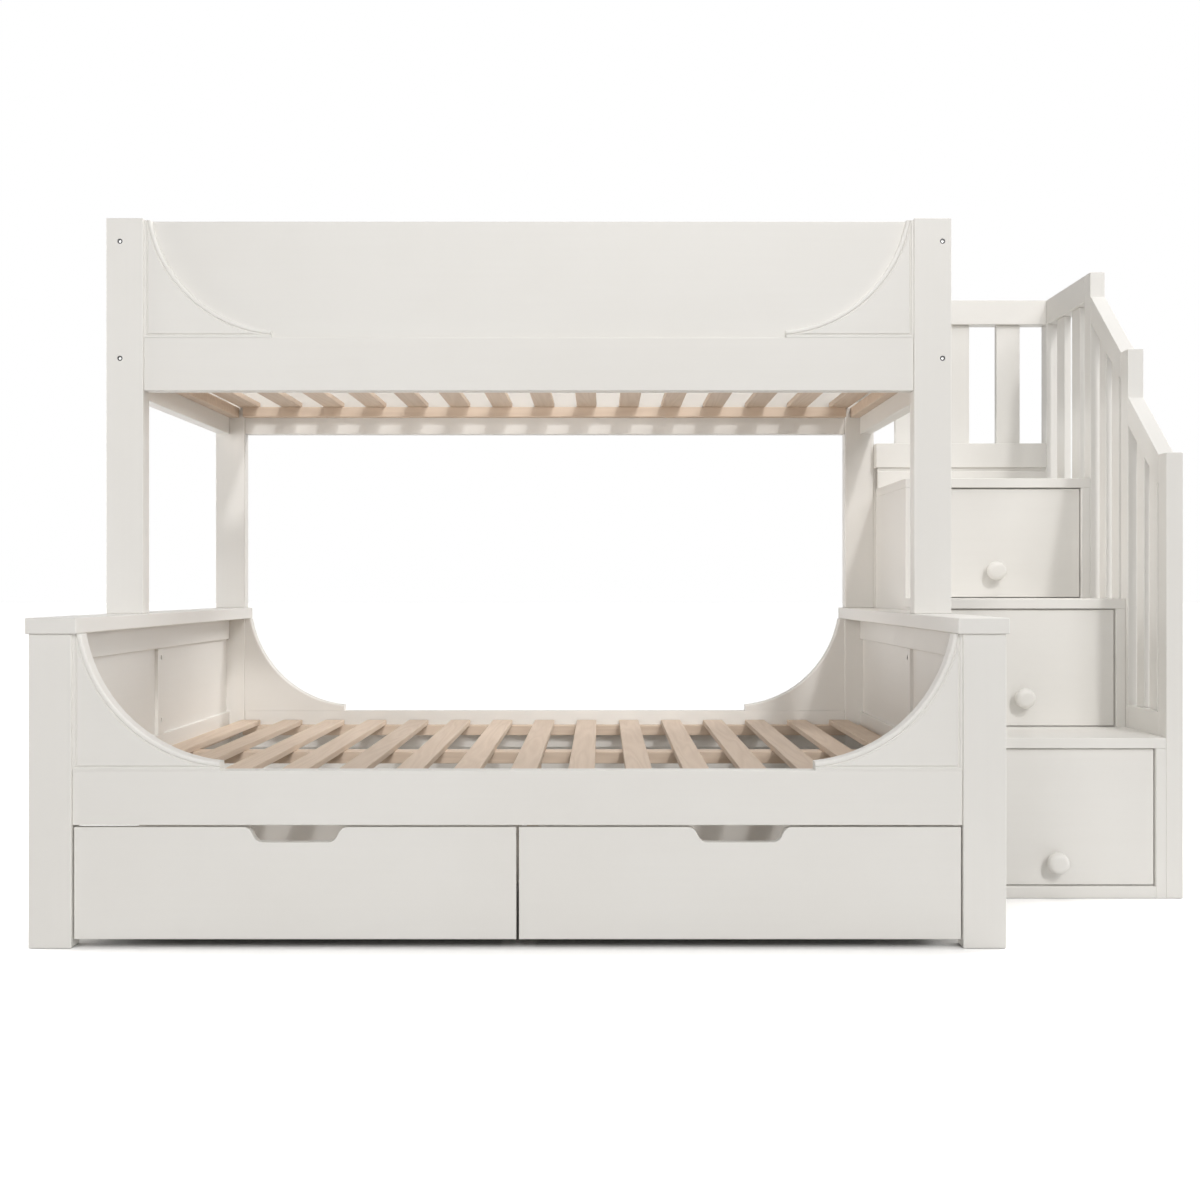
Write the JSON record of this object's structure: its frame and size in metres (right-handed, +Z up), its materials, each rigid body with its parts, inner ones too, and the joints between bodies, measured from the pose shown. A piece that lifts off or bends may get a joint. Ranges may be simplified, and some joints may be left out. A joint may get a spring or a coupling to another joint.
{
  "type": "bunk bed with stairs",
  "caption": "White wooden bunk bed: wide bed below, narrower bed set back above, rolling drawers under it, and stairs at one end made of stacked drawers with a hand rail.",
  "frame": {"origin": "on the floor, under the middle of the whole object's box", "axes": "+X along the bed towards the stairs, -Y the front that the drawers open to, +Z up"},
  "size_m": [2.559, 1.452, 1.612],
  "materials": {
    "white_paint": "satin warm white paint",
    "natural_wood": "bare planed wood",
    "drawer_board": "matt white board",
    "steel": "dark zinc",
    "wheel_plastic": "matt"
  },
  "bodies": {
    "bed_and_stairs": {"bolts": "steel", "cap_left": "white_paint", "cap_right": "white_paint", "guard_balusters": "white_paint", "guard_posts": "white_paint", "guard_rails": "white_paint", "lower_corners_front": "white_paint", "lower_corners_rear": "white_paint", "lower_end_left": "white_paint", "lower_end_right": "white_paint", "lower_leg_front_left": "white_paint", "lower_leg_front_right": "white_paint", "lower_leg_rear_left": "white_paint", "lower_leg_rear_right": "white_paint", "lower_rail_front": "white_paint", "lower_rail_rear": "white_paint", "lower_slat_supports": "natural_wood", "lower_slats": "natural_wood", "post_dowels": "steel", "stair_back": "white_paint", "stair_kickboards": "white_paint", "stair_runners": "drawer_board", "stair_side_left": "white_paint", "stair_side_right": "white_paint", "stair_tread_1": "white_paint", "stair_tread_2": "white_paint", "stair_tread_3": "white_paint", "upper_corners_front": "white_paint", "upper_corners_rear": "white_paint", "upper_end_left": "white_paint", "upper_end_right": "white_paint", "upper_guard_front": "white_paint", "upper_guard_rear": "white_paint", "upper_post_front_left": "white_paint", "upper_post_front_right": "white_paint", "upper_post_rear_left": "white_paint", "upper_post_rear_right": "white_paint", "upper_rail_front": "white_paint", "upper_rail_rear": "white_paint", "upper_slat_ledges": "natural_wood", "upper_slats": "natural_wood"},
    "left_bed_drawer": {"bed_drawer_left_front": "white_paint", "bed_drawer_left_box": "drawer_board", "bed_drawer_left_castors": "steel"},
    "right_bed_drawer": {"bed_drawer_right_front": "white_paint", "bed_drawer_right_box": "drawer_board", "bed_drawer_right_castors": "steel"},
    "left_front_wheels": {"bed_drawer_left_wheels_front": "wheel_plastic"},
    "left_rear_wheels": {"bed_drawer_left_wheels_rear": "wheel_plastic"},
    "right_front_wheels": {"bed_drawer_right_wheels_front": "wheel_plastic"},
    "right_rear_wheels": {"bed_drawer_right_wheels_rear": "wheel_plastic"},
    "stair_drawer_1": {"stair_drawer_1_front": "white_paint", "stair_drawer_1_box": "drawer_board", "stair_drawer_1_knob": "white_paint"},
    "stair_drawer_2": {"stair_drawer_2_front": "white_paint", "stair_drawer_2_box": "drawer_board", "stair_drawer_2_knob": "white_paint"},
    "stair_drawer_3": {"stair_drawer_3_front": "white_paint", "stair_drawer_3_box": "drawer_board", "stair_drawer_3_knob": "white_paint"}
  },
  "joints": [
    {"name": "left_bed_drawer_slide", "type": "slide", "parent": "bed_and_stairs", "child": "left_bed_drawer", "axis": [0, -1, 0], "range_m": [0, 0.58]},
    {"name": "right_bed_drawer_slide", "type": "slide", "parent": "bed_and_stairs", "child": "right_bed_drawer", "axis": [0, -1, 0], "range_m": [0, 0.58]},
    {"name": "stair_drawer_1_slide", "type": "slide", "parent": "bed_and_stairs", "child": "stair_drawer_1", "axis": [0, -1, 0], "range_m": [0, 0.5]},
    {"name": "stair_drawer_2_slide", "type": "slide", "parent": "bed_and_stairs", "child": "stair_drawer_2", "axis": [0, -1, 0], "range_m": [0, 0.36]},
    {"name": "stair_drawer_3_slide", "type": "slide", "parent": "bed_and_stairs", "child": "stair_drawer_3", "axis": [0, -1, 0], "range_m": [0, 0.22]},
    {"name": "left_front_wheels_roll", "type": "hinge", "parent": "left_bed_drawer", "child": "left_front_wheels", "pos_m": [-0.72937, -0.624, 0.012], "axis": [1, 0, 0], "continuous": true},
    {"name": "left_rear_wheels_roll", "type": "hinge", "parent": "left_bed_drawer", "child": "left_rear_wheels", "pos_m": [-0.72937, -0.124, 0.012], "axis": [1, 0, 0], "continuous": true},
    {"name": "right_front_wheels_roll", "type": "hinge", "parent": "right_bed_drawer", "child": "right_front_wheels", "pos_m": [0.18238, -0.624, 0.012], "axis": [1, 0, 0], "continuous": true},
    {"name": "right_rear_wheels_roll", "type": "hinge", "parent": "right_bed_drawer", "child": "right_rear_wheels", "pos_m": [0.18238, -0.124, 0.012], "axis": [1, 0, 0], "continuous": true}
  ],
  "couplings": [
    {"joint": "left_front_wheels_roll", "follows": "left_bed_drawer_slide", "rad_per_m": 83.333},
    {"joint": "left_rear_wheels_roll", "follows": "left_bed_drawer_slide", "rad_per_m": 83.333},
    {"joint": "right_front_wheels_roll", "follows": "right_bed_drawer_slide", "rad_per_m": 83.333},
    {"joint": "right_rear_wheels_roll", "follows": "right_bed_drawer_slide", "rad_per_m": 83.333}
  ]
}
